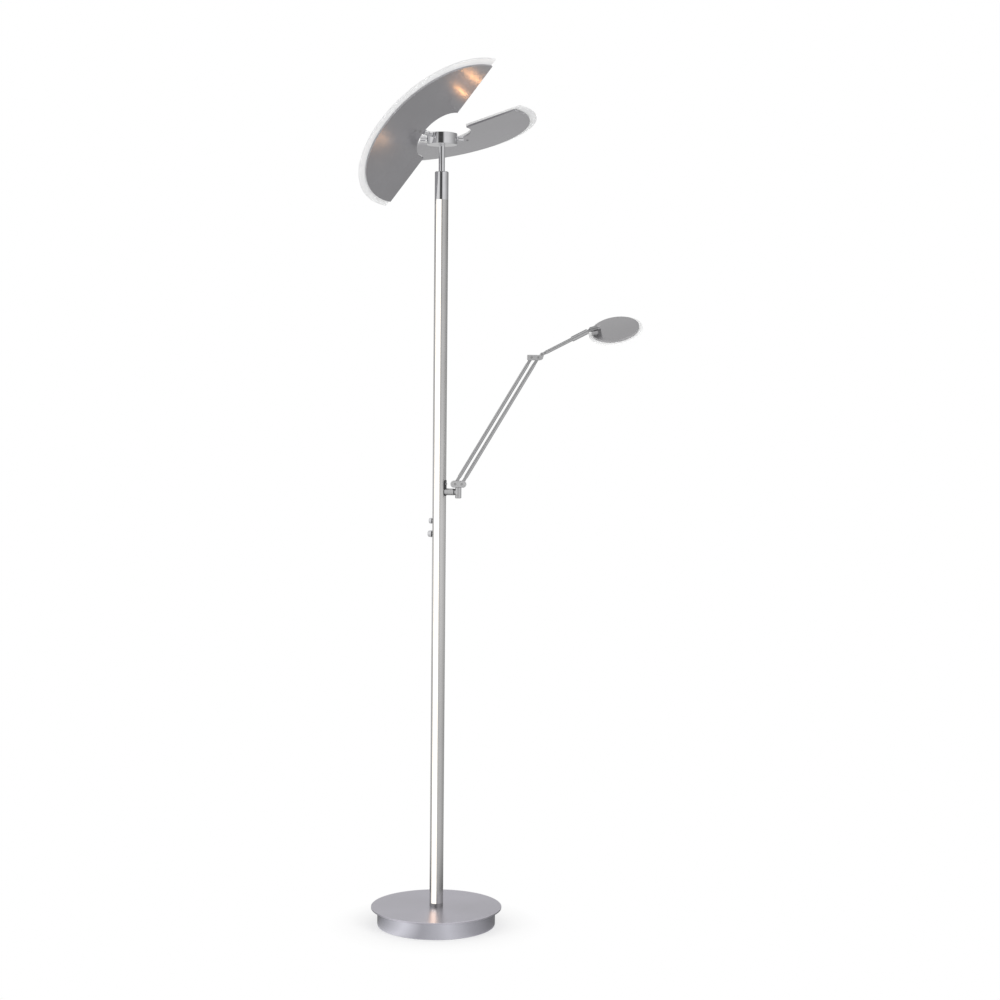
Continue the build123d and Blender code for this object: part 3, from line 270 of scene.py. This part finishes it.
wing_satin = blasted("blasted_wing", (0.44, 0.435, 0.45), 0.25)
head_satin = blasted("blasted_head", (0.44, 0.435, 0.445), 0.30)
knuckle_satin = blasted("blasted_knuckle", (0.60, 0.60, 0.605), 0.28, 0.03)
neck_satin = blasted("blasted_neck", (0.30, 0.30, 0.305), 0.26, 0.03)
made(wing_satin, head_satin, knuckle_satin, neck_satin)

# %% [markdown]
# ## Chrome
#
# The hub, the neck rod, the sleeve and the knobs are polished and chromed. Clean chrome has nearly one
# colour and nearly no roughness, and left like that it looks like a mirror in a drawing. So its detail is
# what handling leaves: faint smudges, which are patches of slightly higher roughness, and hair-thin
# polishing lines that are only seen close up. The foot collar and the plain steel are the same function
# with darker and duller numbers.

# %% Chrome
def chrome(name, colour, roughness=0.07):
    finish = Finish(name)
    smudge = finish.fade(finish.noise(finish.place(), 55.0, 4.0, 0.65), 0.48, 0.72)
    hairs = finish.noise(finish.stretched((300, 300, 4200)), 1.0, 2.0)
    dull = tuple(c * 0.93 for c in colour)
    finish.set(Metallic=1.0, Base_Color=finish.mix(smudge, colour, dull))
    finish.set(Roughness=smudge * 0.06 + hairs * 0.03 + (roughness - 0.02))
    return finish.bump(hairs, 0.03, 0.00005)


bright_chrome = chrome("chrome", (0.66, 0.66, 0.675))
foot_chrome = chrome("foot_chrome", (0.34, 0.335, 0.33), 0.16)
plain_steel = chrome("plain_steel", (0.42, 0.42, 0.42), 0.22)
made(bright_chrome, foot_chrome, plain_steel)

# %% [markdown]
# ## Plastics, rubber and iron
#
# Moulded pieces have a fine, even grain. Rubber and the cast weight have a coarser one. They could share
# one plain plastic, but the grain is what tells them apart where two dark pieces meet. One function covers
# them: a colour, a roughness, and how large and how deep the grain is.

# %% Moulded and cast
def moulded(name, colour, roughness, grain_size, grain_depth):
    finish = Finish(name)
    grain = finish.noise(finish.place(), 1 / grain_size, 3.0)
    patch = finish.noise(finish.place(), 30.0, 2.0)
    lighter = tuple(min(1.0, c * 1.25 + 0.004) for c in colour)
    finish.set(Base_Color=finish.mix(grain * 0.5 + patch * 0.5, colour, lighter))
    finish.set(Roughness=finish.fade(patch, 0.3, 0.7, roughness - 0.05, roughness + 0.05))
    return finish.bump(grain, 0.3, grain_depth)


black_plastic = moulded("black_plastic", (0.014, 0.014, 0.016), 0.42, 0.0004, 0.00005)
white_plastic = moulded("white_plastic", (0.62, 0.62, 0.60), 0.45, 0.0004, 0.00005)
rubber = moulded("rubber", (0.012, 0.012, 0.012), 0.75, 0.0008, 0.0002)
cast_iron = moulded("cast_iron", (0.05, 0.05, 0.052), 0.70, 0.0025, 0.0006)
dark_steel = moulded("blackened_steel", (0.020, 0.020, 0.022), 0.34, 0.0006, 0.00004)
made(black_plastic, white_plastic, rubber, cast_iron, dark_steel)

# %% [markdown]
# ## What lets the light out
#
# Three kinds of piece carry light. The strip in the pole is an opal extrusion, lit from behind, so it
# gives off a warm white of its own that is a little paler over each light behind it. The plates on
# the wings and on the head are clear acrylic with a frosted face: light enters them and shows most at
# the edge. The boards under them are white with small yellow lights. Lamps behind the strip would be
# truer, but light that has to find its way out through a plate takes very many samples to come clean, so
# each of these pieces gives off its own share.

# %% Opal strip
STRIP_LENGTH = 1.5918
STRIP_LIGHTS = 40
STRIP_GLOW = 0.85
LIGHT_PITCH = STRIP_LENGTH / STRIP_LIGHTS
opal = Finish("opal_strip")
wave = opal.math("SINE", opal.part(opal.place(), "Z") * (2 * math.pi / LIGHT_PITCH))
glow = opal.mix(opal.fade(wave, -1.0, 1.0), (1.0, 0.92, 0.82), (1.0, 0.96, 0.90))
opal.set(Base_Color=(0.42, 0.40, 0.37), Roughness=0.35, Coat_Weight=0.2)
opal.set(Emission_Color=glow, Emission_Strength=STRIP_GLOW)
opal.bump(opal.noise(opal.stretched((900, 900, 20)), 1.0), 0.1, 0.00005)
made(opal)
print("one light every", round(1000 * LIGHT_PITCH, 1), "mm of the strip")

# %% Acrylic light plates
EDGE_GLOW = (1.0, 0.96, 0.92)


def acrylic(name, tint, glow_strength):
    finish = Finish(name)
    frost = finish.noise(finish.place(), 1500.0, 2.0)
    drift = finish.noise(finish.place(), 14.0, 2.0)
    finish.set(Base_Color=finish.mix(drift, tint, tuple(c * 0.97 for c in tint)))
    finish.set(Roughness=finish.fade(frost, 0.3, 0.7, 0.30, 0.38), IOR=1.49)
    finish.set(Transmission_Weight=0.30)
    finish.set(Emission_Color=finish.mix(drift, EDGE_GLOW, tint), Emission_Strength=glow_strength)
    return finish


wing_acrylic = acrylic("acrylic_wing", (0.83, 0.835, 0.84), 0.09)
head_acrylic = acrylic("acrylic_head", (0.92, 0.925, 0.93), 0.13)
made(wing_acrylic, head_acrylic)

# %% [markdown]
# A board is one solid, lights and all. Its lights could be picked out face by face, but the faces of a CAD
# piece are numbered anew with every change, so its two colours come from its shape: the lights are what
# stands furthest out from the board. How far out a point is, is its dot product with the direction that
# the board faces, so one threshold tells a light from the board. A fine Voronoi pattern gives the yellow
# phosphor on each light its grain, and blotches of a slightly darker white stand for the board's print.

# %% Light boards
LIGHT_EDGE = (0.0004, 0.0002)
GRAINS_ON_LIGHT = 1900.0
PRINT_BLOTCHES = 160.0


def light_board(name, piece, facing):
    facing = Vector(facing).normalized()
    heights = [vertex.co.dot(facing) for vertex in nodes[piece].data.vertices]
    finish = Finish(name)
    dot = {0: finish.place(), 1: tuple(facing)}
    height = finish.node("ShaderNodeVectorMath", {"operation": "DOT_PRODUCT"}, dot, output="Value")
    top = max(heights)
    on_light = finish.fade(height, top - LIGHT_EDGE[0], top - LIGHT_EDGE[1])
    cells = {"Vector": finish.place(), "Scale": GRAINS_ON_LIGHT}
    grain = finish.node("ShaderNodeTexVoronoi", inputs=cells, output="Distance")
    phosphor = finish.mix(finish.fade(grain, 0.1, 0.6), (0.78, 0.50, 0.10), (0.86, 0.66, 0.24))
    printed = finish.fade(finish.noise(finish.place(), PRINT_BLOTCHES, 0.0), 0.52, 0.55)
    white = finish.mix(printed, (0.80, 0.80, 0.77), (0.72, 0.73, 0.70))
    finish.set(Base_Color=finish.mix(on_light, white, phosphor))
    finish.set(Roughness=0.45 - on_light * 0.20)
    finish.set(Emission_Color=finish.mix(on_light, (0.24, 0.19, 0.13), (1.0, 0.78, 0.46)))
    finish.set(Emission_Strength=1.0)
    print(name, "lights stand out", round(1000 * (top - min(heights)), 2), "mm from its back")
    return finish.bump(grain, 0.1, 0.0001)


strip_lights = light_board("strip_lights", "strip_board", (0, -1, 0))
front_lights = light_board("front_lights", "front_wing_board", (-0.6815, 0.1636, 0.7133))
back_lights = light_board("back_lights", "back_wing_board", (-0.1988, 0.0477, 0.9789))
head_lights = light_board("head_lights", "head_board", (-0.028, 0.540, -0.841))

# %% [markdown]
# ## Finish every CAD piece
#
# The names of the CAD pieces say what they are. Each piece could get its finish in a cell of its own, but
# sixty such cells hide the few choices that matter, so one table holds them all. The loop at the end
# makes sure that none was left out: what the table doesn't name is plain steel, and is printed.

# %% Put the finishes on
def wear(piece, finish):
    """Puts a finish on every material slot of an object."""
    if not piece.material_slots:
        piece.data.materials.append(finish.material)
    for slot in piece.material_slots:
        slot.material = finish.material


finished = {
    "pole_tube": pole_satin,
    "pole_foot": foot_chrome,
    "base_drum": drum_satin,
    "base_plate": plate_satin,
    "base_weight": cast_iron,
    "base_pad": rubber,
    "cord_bush": black_plastic,
    "strip_diffuser": opal,
    "strip_board": strip_lights,
    "front_wing_board": front_lights,
    "back_wing_board": back_lights,
    "head_board": head_lights,
    "head_shell": head_satin,
    "head_light_plate": head_acrylic,
    "forearm_grip": bar_satin,
    "arm_plate": dark_steel,
    "arm_ring": black_plastic,
    "head_neck": neck_satin,
    "head_boss": head_satin,
    "hub_bush": white_plastic,
    "pole_plug": white_plastic,
}
for name in ("bar_a", "bar_b", "forearm_rod", "arm_stub", "arm_post"):
    finished[name] = bar_satin
for name in ("lower_knuckle", "upper_knuckle"):
    finished[name] = knuckle_satin
for name in ("upper_dimmer_body", "lower_dimmer_body"):
    finished[name] = white_plastic
for name in ("top_sleeve", "neck_rod", "hub_housing", "hub_lid", "left_hub_screw", "right_hub_screw"):
    finished[name] = bright_chrome
for name in ("upper_dimmer_knob", "lower_dimmer_knob"):
    finished[name] = bright_chrome
for wing in ("front_wing_", "back_wing_"):
    finished[wing + "tray"] = wing_satin
    finished[wing + "light_plate"] = wing_acrylic
    finished[wing + "arm"] = bright_chrome
    finished[wing + "ring"] = black_plastic
for name in nodes:
    wear(nodes[name], finished.get(name, plain_steel))
print("plain steel:", sorted(set(nodes) - set(finished)))

# %% [markdown]
# ## Small fittings
#
# Each pivot pin of the reading arm ends in a low cap with a hexagon socket, and grub screws hold the
# post, the sleeve and the foot. They are all the same shape at different sizes: a round head with a
# rounded rim and a six-sided well. A cylinder with the well cut out by a boolean would do, but that leaves
# long thin faces. Here the head starts as a circle, which is filled and extruded. The well starts as a
# hexagon in the same plane as its top, the ring between the two outlines is bridged, the hexagon is
# extruded down and filled, and the rim is bevelled. The caps sit on the joints of the model, so they
# follow every pose.

# %% Socket heads
HEAD_SIDES = 24
WELL_WIDTH = 0.52
WELL_DEPTH = 0.6
RIM_ROUND = 0.35
MERGE_WITHIN = 0.000001


def added(name, mesh):
    """Turns a bmesh into an object at the origin."""
    data = bpy.data.meshes.new(name)
    mesh.to_mesh(data)
    mesh.free()
    piece = bpy.data.objects.new(name, data)
    bpy.context.scene.collection.objects.link(piece)
    return piece


def outline(mesh, sides, radius, height):
    """A flat ring of edges round the Z axis."""
    corners = bmesh.ops.create_circle(mesh, segments=sides, radius=radius)["verts"]
    bmesh.ops.translate(mesh, verts=corners, vec=(0, 0, height))
    return list({edge for corner in corners for edge in corner.link_edges})


def pulled(mesh, edges, height):
    """Extrudes the edges straight up or down and returns the new ones."""
    grown = bmesh.ops.extrude_edge_only(mesh, edges=edges)["geom"]
    corners = [part for part in grown if isinstance(part, bmesh.types.BMVert)]
    bmesh.ops.translate(mesh, verts=corners, vec=(0, 0, height))
    return [part for part in grown if isinstance(part, bmesh.types.BMEdge)]


def socket_head(name, place, facing, radius, height, body):
    mesh = bmesh.new()
    foot = outline(mesh, HEAD_SIDES, radius, 0)
    bmesh.ops.edgeloop_fill(mesh, edges=foot)
    rim = pulled(mesh, foot, height)
    well = outline(mesh, 6, radius * WELL_WIDTH, height)
    bmesh.ops.bridge_loops(mesh, edges=rim + well)
    bmesh.ops.edgeloop_fill(mesh, edges=pulled(mesh, well, -WELL_DEPTH * height))
    rounding = {"offset": height * RIM_ROUND, "segments": 3, "profile": 0.5}
    bmesh.ops.bevel(mesh, geom=rim, affect="EDGES", material=-1, **rounding)
    bmesh.ops.remove_doubles(mesh, verts=mesh.verts, dist=MERGE_WITHIN)
    bmesh.ops.recalc_face_normals(mesh, faces=mesh.faces)
    turn = Vector((0, 0, 1)).rotation_difference(Vector(facing)).to_matrix().to_4x4()
    bmesh.ops.transform(mesh, verts=mesh.verts, matrix=Matrix.Translation(place) @ turn)
    piece = added(name, mesh)
    wear(piece, plain_steel)
    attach(piece, body)
    print(name, round(2000 * radius, 1), "mm across, on", body)


# %% Caps on the arm's pivots
ARM_SIDE = math.radians(24)
CHEEK = 0.00705
CAP_RADIUS = 0.0027
CAP_HEIGHT = 0.0008
joint_place = {joint["name"]: Vector(joint["pos_m"]) for joint in frame["joints"]}
across = Vector((-math.sin(ARM_SIDE), math.cos(ARM_SIDE), 0))
bar_step = joint_place["bar_b_lift"] - joint_place["arm_lift"]
pivots = {
    "lower_cap_a": (joint_place["arm_lift"], "turret"),
    "lower_cap_b": (joint_place["bar_b_lift"], "turret"),
    "upper_cap_a": (joint_place["upper_link_level"], "upper_link"),
    "upper_cap_b": (joint_place["upper_link_level"] + bar_step, "upper_link"),
    "ear_cap": (joint_place["forearm_tilt"], "upper_link"),
}
for name, (place, body) in pivots.items():
    for side, word in ((1, "back"), (-1, "front")):
        facing = across * side
        socket_head(name + "_" + word, place + facing * CHEEK, facing, CAP_RADIUS, CAP_HEIGHT, body)
print(len(pivots) * 2, "pivot caps, bars", round(1000 * bar_step.length, 1), "mm apart")

# %% Grub screws
GRUB_HEIGHT = 0.0005
grubs = {
    "post_grub": ((0.0468, -0.00695, 0.9850), (0, -1, 0), 0.0020),
    "sleeve_grub": ((0, 0.01545, 1.6640), (0, 1, 0), 0.0022),
    "foot_grub": ((0, 0.01545, 0.0620), (0, 1, 0), 0.0024),
}
for name, (place, facing, radius) in grubs.items():
    socket_head(name, Vector(place), Vector(facing), radius, GRUB_HEIGHT, "lamp_body")
print(sorted(grubs))

# %% [markdown]
# ## The studio
#
# A white floor and a white world. The world lights the lamp at a moderate level, but the camera, and
# rays that come off metal or through acrylic, see it as pure white: the Light Path node tells those rays
# apart. White alone would leave metal with nothing to show. A photographer stands grey and black sheets
# round the set for that. They could be modelled one by one, but then moving one uncovers another. Here
# they are one tent: a floor and a round wall that only reflections see. Colour ramps round the tent say
# how bright it is in each direction, in degrees: 0 is towards the camera, -90 is on the camera's left, 90
# is on its right, and 180 is behind the lamp.

# %% World
AMBIENT = 0.62
SEEN_WHITE = 1.0


class Sky(Finish):
    """The world's node tree; `shader` is its Background."""

    def __init__(self, world):
        world.use_nodes = True
        self.tree = world.node_tree
        self.shader = self.tree.nodes["Background"]


def seen_or_mirrored(finish):
    """1 for rays from the camera, off metal or through acrylic, otherwise 0."""
    rays = ("Is Camera Ray", "Is Glossy Ray", "Is Transmission Ray")
    seen, mirrored, through = (finish.node("ShaderNodeLightPath", output=ray) for ray in rays)
    return finish.math("MAXIMUM", finish.math("MAXIMUM", seen, mirrored), through)


studio = bpy.data.worlds.new("studio")
bpy.context.scene.world = studio
sky = Sky(studio)
sky.set(Color=(1, 1, 1), Strength=sky.fade(seen_or_mirrored(sky), 0, 1, AMBIENT, SEEN_WHITE))
print("the world lights at", AMBIENT, "and is seen at", SEEN_WHITE)

# %% Floor
FLOOR_REACH = 12.0
SHADOW_FADE = (0.05, 0.25)


def stage_piece(name, mesh, finish):
    piece = added(name, mesh)
    wear(piece, finish)
    return piece


floor_finish = Finish("floor")
floor_finish.set(Base_Color=(0.90, 0.90, 0.90), Roughness=0.9, Specular_IOR_Level=0.0)
floor_finish.set(Emission_Color=(1, 1, 1), Emission_Strength=0.20)
shaded = Value(floor_finish, floor_finish.shader.outputs["BSDF"])
white = floor_finish.node("ShaderNodeEmission")
away = floor_finish.fade(floor_finish.from_axis(), *SHADOW_FADE)
seen_white = {0: away * seen_or_mirrored(floor_finish), 1: shaded, 2: white}
blend = floor_finish.node("ShaderNodeMixShader", inputs=seen_white)
floor_finish.feed(floor_finish.tree.nodes["Material Output"].inputs["Surface"], blend)
sheet = bmesh.new()
bmesh.ops.create_grid(sheet, x_segments=1, y_segments=1, size=FLOOR_REACH)
stage_piece("floor", sheet, floor_finish)
made(floor_finish)

# %% Tones round the tent
NEAR_TO_FAR = (0.30, 0.75)
LOW_TO_HIGH = (1.6, 2.0)
FOOT_OF_WALL = (0.5, 1.2)
FOOT_BOOST = 1.30
GROUND_TO_WALL = (0.002, 0.003)
HIGH_WALL = {
    -180: 0.60, -138: 0.50, -115: 0.50, -95: 0.90, -70: 1.00, -38: 0.95, -22: 0.08, 6: 0.08, 20: 0.95,
    50: 0.90, 80: 0.65, 108: 0.40, 135: 0.30, 160: 0.30, 180: 0.60,
}
LOW_WALL = {
    -180: 0.58, -138: 0.66, -95: 0.90, -70: 1.00, -38: 0.90, -22: 0.62, 6: 0.62, 25: 0.95, 50: 0.90,
    80: 0.75, 108: 0.60, 135: 0.45, 160: 0.45, 180: 0.58,
}
NEAR_FLOOR = {
    -180: 0.15, -100: 0.25, -70: 0.60, -45: 1.00, -20: 0.45, 15: 0.75, 45: 0.40, 90: 0.20, 180: 0.15,
}
FAR_FLOOR = {
    -180: 0.58, -130: 0.66, -60: 0.85, 60: 0.85, 110: 0.55, 132: 0.50, 150: 0.50, 168: 0.56, 180: 0.58,
}
for word, levels in (("high", HIGH_WALL), ("low", LOW_WALL), ("near", NEAR_FLOOR), ("far", FAR_FLOOR)):
    print(word, "tones from", min(levels.values()), "to", max(levels.values()))

# %% The tent's finish
tent_finish = Finish("tent")
turned = tent_finish.stretched((1, 1, 1), (0, 0, math.radians(90) - VIEW_SIDE))
side_x, side_y, rise = (tent_finish.part(turned, axis) for axis in "XYZ")
share = (tent_finish.math("ARCTAN2", side_y, side_x) + math.pi) / (2 * math.pi)


def ring_of_tones(levels):
    stops = [((angle + 180) / 360, (level, level, level)) for angle, level in levels.items()]
    return tent_finish.node("ShaderNodeValToRGB", {"stops": stops}, {0: share}, output="Color")


def glowing(finish, tone):
    finish.set(Base_Color=(0, 0, 0), Specular_IOR_Level=0.0, Emission_Color=tone, Emission_Strength=1.0)


to_far = tent_finish.fade(tent_finish.from_axis(), *NEAR_TO_FAR)
ground = tent_finish.mix(to_far, ring_of_tones(NEAR_FLOOR), ring_of_tones(FAR_FLOOR))
to_high = tent_finish.fade(rise, *LOW_TO_HIGH)
walls = tent_finish.mix(to_high, ring_of_tones(LOW_WALL), ring_of_tones(HIGH_WALL))
scaled = {0: walls, "Scale": tent_finish.fade(rise, *FOOT_OF_WALL, FOOT_BOOST, 1.0)}
lit_wall = tent_finish.node("ShaderNodeVectorMath", {"operation": "SCALE"}, scaled, output="Vector")
glowing(tent_finish, tent_finish.mix(tent_finish.fade(rise, *GROUND_TO_WALL), ground, lit_wall))
made(tent_finish)

# %% The tent that only reflections see
TENT_RADIUS = 5.0
TENT_HEIGHT = 3.6
TENT_MOUTH = 0.137
TENT_SIDES = 96
ABOVE_FLOOR = 0.001


def only_reflected(piece):
    piece.visible_camera = False
    piece.visible_diffuse = False
    piece.visible_transmission = False
    piece.visible_shadow = False


tent_mesh = bmesh.new()
mouth = outline(tent_mesh, TENT_SIDES, TENT_MOUTH, ABOVE_FLOOR)
edge = outline(tent_mesh, TENT_SIDES, TENT_RADIUS, ABOVE_FLOOR)
bmesh.ops.bridge_loops(tent_mesh, edges=mouth + edge)
pulled(tent_mesh, edge, TENT_HEIGHT)
only_reflected(stage_piece("tent", tent_mesh, tent_finish))
print("tent", 2 * TENT_RADIUS, "m across and", TENT_HEIGHT, "m high")

# %% [markdown]
# The tent is open at the top, where metal mirrors the white world. The disc of the reading head and the
# rims of the wings look up and back, over the tent's edge, and in the photograph they show a soft grey.
# A whole grey roof would darken every other piece that looks up, so one grey sheet hangs behind and above
# the lamp for them.

# %% Sheet above and behind
SHEET_SIDES = (110, 245)
SHEET_NEAR = (1.0, 5.6)
SHEET_FAR = (4.6, 4.1)


def towards(side, distance, height):
    """A place round the lamp: side is in degrees to the right of the camera, as the camera sees it."""
    angle = math.radians(side)
    level = to_camera * math.cos(angle) + to_right * math.sin(angle)
    return level * distance + Vector((0, 0, height))


sheet_finish = Finish("grey_sheet")
glowing(sheet_finish, (0.60, 0.60, 0.60))
first_side, last_side = SHEET_SIDES
corners = (
    (first_side, SHEET_FAR), (last_side, SHEET_FAR), (last_side, SHEET_NEAR), (first_side, SHEET_NEAR)
)
sheet = bmesh.new()
bmesh.ops.contextual_create(sheet, geom=[sheet.verts.new(towards(side, *line)) for side, line in corners])
only_reflected(stage_piece("grey_sheet", sheet, sheet_finish))
print("grey sheet from", SHEET_NEAR, "to", SHEET_FAR, "(distance, height)")

# %% [markdown]
# Two soft lamps light what is not metal. Metal doesn't mirror them, so they leave no hot spots. Small
# warm lamps stand for light that the lamp itself throws on its metal: two lights at the straight edge of
# the back wing show as streaks on the underside of the front one, with a faint glow round them, and the
# ends of the lit strip show as warm patches on the base plate and on the front wing. Stronger light from
# the pieces themselves would do the same, but would wash out the strip and the plates. So these lamps are
# thin, and the camera doesn't see them.

# %% Lamps
def area_lamp(name, place, size, power, colour=(1, 1, 1)):
    data = bpy.data.lights.new(name, "AREA")
    data.shape = "RECTANGLE"
    data.size, data.size_y = size
    data.energy = power
    data.color = colour
    light = bpy.data.objects.new(name, data)
    bpy.context.scene.collection.objects.link(light)
    light.location = place
    light.visible_camera = False
    return light


MIDDLE_OF_LAMP = Vector((0, 0, 1.0))
SOFT_LAMP_SIZE = (1.7, 1.7)
SOFT_LAMP_DISTANCE = 4.2
for name, side, height, power in (("key", 38, 2.3, 60), ("fill", -60, 1.8, 34)):
    place = towards(side, SOFT_LAMP_DISTANCE, height)
    light = area_lamp(name, place, SOFT_LAMP_SIZE, power)
    light.rotation_euler = (MIDDLE_OF_LAMP - place).to_track_quat("-Z", "Y").to_euler()
    light.visible_glossy = False
    print(name, "lamp of", power, "W at", [round(v, 2) for v in place])

# %% Warm lamps
STREAK_COLOUR = (1.0, 0.47, 0.16)
GLOW_COLOUR = (1.0, 0.38, 0.10)
OFF_BACK_WING = (-0.199, 0.048, 0.979)
TO_THE_FRONT = (0, -1, 0)


def warm_line(name, start, end, facing, width, power, colour=STREAK_COLOUR):
    """A thin warm lamp from start to end that shines along `facing`."""
    start, end, facing = Vector(start), Vector(end), Vector(facing).normalized()
    length = (end - start).length
    light = area_lamp(name, (start + end) / 2, (width, length), power, colour)
    run = (end - start).normalized()
    light.rotation_euler = Matrix((run.cross(-facing), run, -facing)).transposed().to_euler()
    print(name, round(1000 * length), "mm long")


streak_a = (0.1464, -0.0072, 1.8321), (0.1480, 0.0560, 1.8294)
streak_b = (0.1033, -0.0228, 1.8241), (0.1038, 0.0250, 1.8219)
round_both = (0.1246, -0.030, 1.8274), (0.1262, 0.060, 1.8233)
foot = (0.0, -0.0185, 0.060), (0.0, -0.0185, 0.200)
top = (0.0, -0.0185, 1.560), (0.0, -0.0185, 1.645)
warm_line("edge_light_a", *streak_a, OFF_BACK_WING, 0.003, 0.0095)
warm_line("edge_light_b", *streak_b, OFF_BACK_WING, 0.003, 0.0060)
warm_line("edge_glow", *round_both, OFF_BACK_WING, 0.075, 0.0045, GLOW_COLOUR)
warm_line("strip_foot", *foot, TO_THE_FRONT, 0.016, 0.0050)
warm_line("strip_top", *top, TO_THE_FRONT, 0.010, 0.008)

# %% [markdown]
# ## Finish
#
# The last cell sets the view transform to Standard.

# %% Finish
bpy.context.scene.view_settings.view_transform = "Standard"
